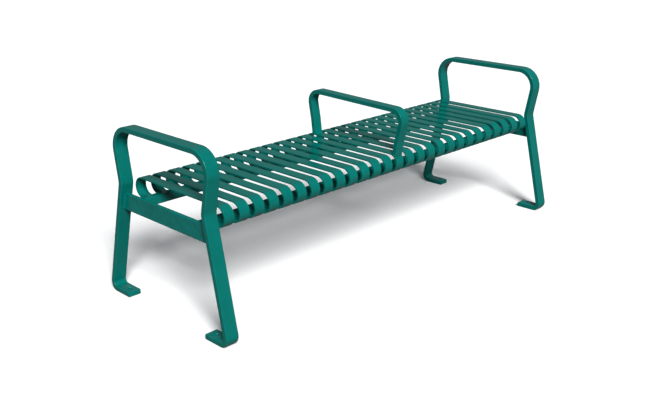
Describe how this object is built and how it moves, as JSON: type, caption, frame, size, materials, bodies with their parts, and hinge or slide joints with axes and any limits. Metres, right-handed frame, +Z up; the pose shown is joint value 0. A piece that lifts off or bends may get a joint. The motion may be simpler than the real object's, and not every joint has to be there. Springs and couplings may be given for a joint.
{
  "type": "backless bench",
  "caption": "Backless steel bench with a slatted strap seat rolled down at both edges, looped flat-bar end frames that form legs and arms, and a centre arm.",
  "frame": {"origin": "middle of the footprint, on the ground", "axes": "+X along the bench, +Z up, the front faces -Y"},
  "size_m": [1.8796, 0.6616, 0.64],
  "materials": {
    "frame_paint": "glossy green powder coat on flat bar",
    "strap_paint": "glossy green powder coat on rolled straps",
    "rail_paint": "glossy green powder coat on square tube",
    "weld_paint": "green powder coat over weld beads"
  },
  "bodies": {
    "root": {"end_frame_left": "frame_paint", "end_frame_right": "frame_paint", "crossbar_left": "frame_paint", "crossbar_right": "frame_paint", "seat_rail_front": "rail_paint", "seat_rail_rear": "rail_paint", "seat_strap_01": "strap_paint", "seat_strap_02": "strap_paint", "seat_strap_03": "strap_paint", "seat_strap_04": "strap_paint", "seat_strap_05": "strap_paint", "seat_strap_06": "strap_paint", "seat_strap_07": "strap_paint", "seat_strap_08": "strap_paint", "seat_strap_09": "strap_paint", "seat_strap_10": "strap_paint", "seat_strap_11": "strap_paint", "seat_strap_12": "strap_paint", "seat_strap_13": "strap_paint", "seat_strap_14": "strap_paint", "seat_strap_15": "strap_paint", "seat_strap_16": "strap_paint", "seat_strap_17": "strap_paint", "seat_strap_18": "strap_paint", "seat_strap_19": "strap_paint", "seat_strap_20": "strap_paint", "seat_strap_21": "strap_paint", "seat_strap_22": "strap_paint", "seat_strap_23": "strap_paint", "seat_strap_24": "strap_paint", "seat_strap_25": "strap_paint", "seat_strap_26": "strap_paint", "seat_strap_27": "strap_paint", "centre_arm": "frame_paint", "frame_welds_left": "weld_paint", "frame_welds_right": "weld_paint", "strap_welds_front": "weld_paint", "strap_welds_rear": "weld_paint", "arm_welds": "weld_paint"}
  },
  "joints": []
}
